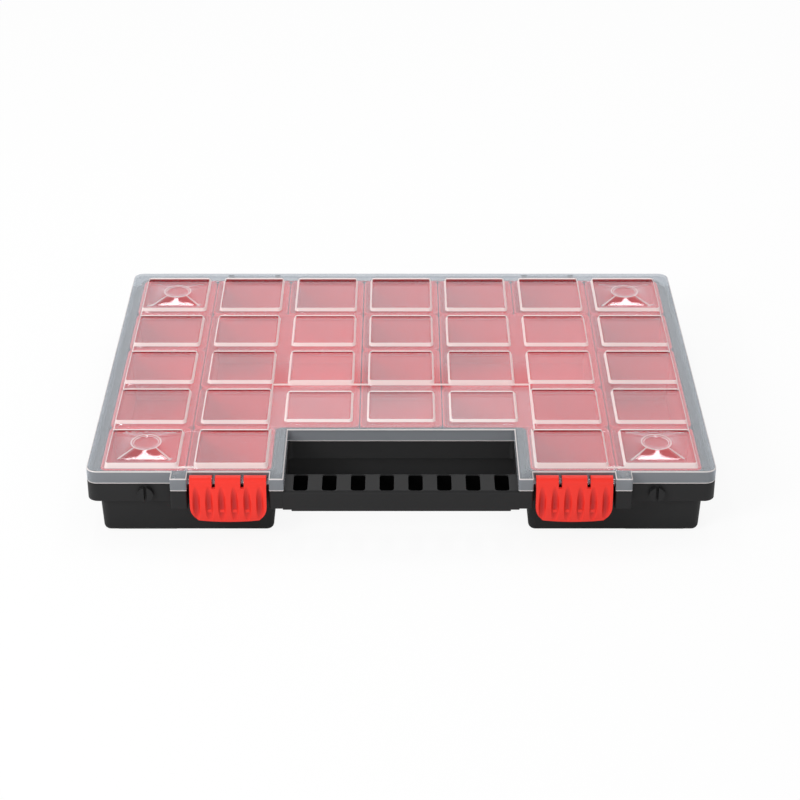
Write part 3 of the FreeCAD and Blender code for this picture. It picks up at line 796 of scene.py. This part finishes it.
# Latches
# Red polypropylene snap latches: a barrel that clips on the axle bar, a bulged plate with thumb flutes,
# and a hook that catches under the tray's flange. Two slits let the axle's ribs through the barrel.
latch_half = 24.15 * mm
barrel_radius = 4 * mm
bore_radius = 2.08 * mm
mouth_half = 1.6 * mm
plate_thick = 2.2 * mm
bulge_radius = 50 * mm
plate_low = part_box("latch_left")[0].z
plate_middle = (axle_z + plate_low) / 2
plate_face = axle_y - barrel_radius
bulge = 2 * mm
slit_drop = 2.6 * mm
slit_low = axle_z - slit_drop
slit_half = 1.1 * mm
tail_height = 13 * mm
tail_bend = plate_low + tail_height
tail_inset = 5.5 * mm
tail_power = 2.3
tail_bow = 1.2 * mm
flute_pitch = 8 * mm
flute_radius = 2.4 * mm
flute_depth = 1.7 * mm
flute_blend = 0.06 * mm


def bow(height, shift):
    """Depth of the bulged plate's face at a height: an arc of a large circle."""
    middle = plate_face - bulge + bulge_radius
    return middle + shift - np.sqrt(bulge_radius ** 2 - (height - plate_middle) ** 2)


def latch_body(section, across):
    """A section of depths and heights carried across the latch's width. Below the bend the sides draw in
    by a power of the drop, the lower edge rises to its corners, and the front takes the flutes, cylinders
    blended into the plate. The third list says how deep in a flute each point is, from 0 to 1."""
    depth, height = section[:, :1], section[:, 1:]
    drop = np.clip((tail_bend - height) / (tail_bend - plate_low), 0, 1)
    x = across[None, :] * (1 - drop ** tail_power * tail_inset / latch_half)
    z = height + tail_bow * drop * (across / latch_half) ** 2
    from_flute = np.abs((x / flute_pitch) % 1 - 0.5) * flute_pitch
    flute = plate_face - bulge + flute_depth - flute_radius + np.sqrt(
        np.clip(flute_radius ** 2 - from_flute ** 2, 0, None))
    front = depth < bow(height, plate_thick / 2)
    fluted = (depth + flute + np.sqrt((depth - flute) ** 2 + flute_blend ** 2)) / 2
    y = np.where(front & (height < axle_z), fluted, depth)
    numbers = np.arange(x.size).reshape(x.shape).T
    points = np.stack([x, y, z], axis=2)
    faces = [*grid_quads(wrapped(numbers)).tolist(), numbers[0].tolist(), numbers[-1][::-1].tolist()]
    return points.reshape(-1, 3), faces, np.clip((y - depth) / flute_depth, 0, 1).ravel()


def plate_points(heights, shift):
    """Depths and heights down the bulged plate, behind its face by a shift."""
    return np.stack([bow(heights, shift), heights], axis=1)


# Section of the plate with its rounded lower edge, and of the barrel with its bore and snap-in mouth
plate_steps, tail_steps = 40, 7
neck_steps, barrel_steps, bore_steps, barrel_foot_steps = 6, 20, 24, 12
barrel_foot = 2.62
tail_lift = 0.5 * mm
tail_radius = plate_thick / 2
tail_middle = (bow(plate_low + tail_lift, tail_radius), plate_low + tail_radius)
plate_heights = np.linspace(plate_low + tail_lift, slit_low, plate_steps)
plate_section = np.concatenate([
    plate_points(plate_heights, 0),
    plate_points(plate_heights, plate_thick)[::-1],
    arc(tail_middle, tail_radius, 0, -2, tail_steps)[1:-1]])
mouth = np.arcsin(mouth_half / barrel_radius) * 2 / np.pi
throat = np.arcsin(mouth_half / bore_radius) * 2 / np.pi
axle = (axle_y, axle_z)
barrel_section = np.concatenate([
    plate_points(np.linspace(slit_low, axle_z, neck_steps), 0)[:-1],
    arc(axle, barrel_radius, 2, mouth, barrel_steps),
    arc(axle, bore_radius, throat, 4 - throat, bore_steps),
    arc(axle, barrel_radius, 4 - mouth, barrel_foot, barrel_foot_steps),
    plate_points(np.array([slit_low]), plate_thick)])

hook_rise = 7.8 * mm
hook_low = plate_low + hook_rise
hook_thick = 2.2 * mm
hook_half = 18.6 * mm
hook_front, hook_back = -150.2 * mm, -139.3 * mm
hook_edge = 0.3 * mm
plate_columns, barrel_columns = 121, 34
barrel_spans = ((-latch_half, -rib_spread - slit_half), (-rib_spread + slit_half, rib_spread - slit_half),
                (rib_spread + slit_half, latch_half))
bodies = [latch_body(plate_section, np.linspace(-latch_half, latch_half, plate_columns))]
bodies += [latch_body(barrel_section, np.linspace(*span, barrel_columns)) for span in barrel_spans]
hook_points, hook_faces = rounded_block((-hook_half, hook_front, hook_low),
                                        (hook_half, hook_back, hook_low + hook_thick), hook_edge)
bodies.append((hook_points, hook_faces.tolist(), np.zeros(len(hook_points))))
latch_points = np.concatenate([points for points, faces, flute_shades in bodies])
latch_groove_shade = np.concatenate([flute_shades for points, faces, flute_shades in bodies]).astype(np.float32)
latch_faces = []
start = 0
for points, faces, flute_shades in bodies:
    latch_faces += [[number + start for number in face] for face in faces]
    start += len(points)
# The flutes are painted darker red, most at their bottoms: painted shade read from each point's depth in its
# flute.
latch_finish = moulded_plastic("red latch plastic", pale=(0.86, 0.028, 0.014), deep=(0.80, 0.022, 0.011),
                               roughness=0.36, gloss=0.4, grain_size=0.8 * mm, grain_depth=0.015 * mm,
                               groove_shade=(0.5, 0.008, 0.006))
for side, word in ((-1, "left"), (1, "right")):
    make_piece(f"latch_{word}_moulding", f"latch_{word}", latch_finish,
               latch_points + np.array([side * latch_x, 0, 0]), latch_faces, [f"latch_{word}"],
               marks=[("groove_shade", latch_groove_shade)])

# Studio
# A white floor and backdrop under a dim ceiling, with two box lamps overhead and one at the front left.
# The camera stands in front of the handle and looks down at the case with a long lens.
sky_light = 0.66
backdrop_glow = 1.05
ceiling_glow = 0.27
backdrop_end, ceiling_start = 0.5, 0.85


def white_sky():
    """White for the camera, a plain level for lighting,
    and for gloss a bright backdrop that fades with height into a dim ceiling."""
    world = bpy.data.worlds.new("studio sky")
    bpy.context.scene.world = world
    world.use_nodes = True
    tree = world.node_tree
    tree.nodes.clear()
    path = tree.nodes.new("ShaderNodeLightPath")
    seen = Wire(tree, path.outputs["Is Camera Ray"])
    shiny = Wire(tree, path.outputs["Is Glossy Ray"])
    way = Wire(tree, tree.nodes.new("ShaderNodeTexCoord").outputs["Generated"])
    up = way.node("ShaderNodeSeparateXYZ", {}, {0: way}, output=2)
    glow = up.node("ShaderNodeMapRange", {"interpolation_type": "SMOOTHSTEP"}, {
        "Value": up, "From Min": backdrop_end, "From Max": ceiling_start,
        "To Min": backdrop_glow, "To Max": ceiling_glow})
    strength = sky_light + (1 - sky_light) * seen + shiny * (glow - sky_light)
    sky = seen.node("ShaderNodeBackground", {}, {"Color": (1, 1, 1, 1), "Strength": strength})
    seen.node("ShaderNodeOutputWorld", {}, {"Surface": sky})


white_sky()

floor_half = 4.0
floor_white_share = 0.9
floor_mesh = bpy.data.meshes.new("floor")
floor_mesh.from_pydata([(-floor_half, -floor_half, 0), (floor_half, -floor_half, 0),
                        (floor_half, floor_half, 0), (-floor_half, floor_half, 0)], [], [(0, 1, 2, 3)])
floor = bpy.data.objects.new("floor", floor_mesh)
bpy.context.scene.collection.objects.link(floor)
floor_finish, floor_place = start_finish("white floor")
paper = floor_place.node("ShaderNodeBsdfDiffuse", {}, {"Color": (0.9, 0.9, 0.9, 1)})
glow = floor_place.node("ShaderNodeEmission", {}, {"Color": (1, 1, 1, 1), "Strength": 1.0})
floor_path = floor_place.tree.nodes.new("ShaderNodeLightPath")
floor_seen = Wire(floor_place.tree, floor_path.outputs["Is Camera Ray"])
floor_mix = layer(floor_place, floor_white_share * floor_seen, paper, glow)
floor_place.node("ShaderNodeOutputMaterial", {}, {"Surface": floor_mix})
floor_mesh.materials.append(floor_finish)


def box_lamp(name, place, aim, width, depth, power):
    """A flat rectangular lamp at a place, turned to face a point."""
    lamp_data = bpy.data.lights.new(name, "AREA")
    lamp_data.shape = "RECTANGLE"
    lamp_data.size = width
    lamp_data.size_y = depth
    lamp_data.energy = power
    lamp = bpy.data.objects.new(name, lamp_data)
    lamp.location = place
    lamp.rotation_euler = (Vector(aim) - Vector(place)).to_track_quat("-Z", "Y").to_euler()
    bpy.context.scene.collection.objects.link(lamp)


overhead_side, overhead_depth, overhead_height = 0.305, 0.45, 1.25
for side in (-1, 1):
    box_lamp(f"overhead {side}", place=(side * overhead_side, overhead_depth, overhead_height),
             aim=(side * overhead_side, overhead_depth, 0), width=0.12, depth=0.6, power=1.9)
box_lamp("front left", place=(-1.3, -1.2, 1.1), aim=(0, 0, 0), width=0.7, depth=0.7, power=20)

camera_place = (-0.745 * mm, -1265.9 * mm, 729.5 * mm)
camera_dip = 29.25
camera_data = bpy.data.cameras.new("camera")
camera_data.sensor_width = 36
camera_data.lens = 93.9
camera = bpy.data.objects.new("camera", camera_data)
camera.location = camera_place
camera.rotation_euler = (np.radians(90 - camera_dip), 0, 0)
bpy.context.scene.collection.objects.link(camera)
bpy.context.scene.camera = camera
bpy.context.scene.view_settings.view_transform = "Standard"
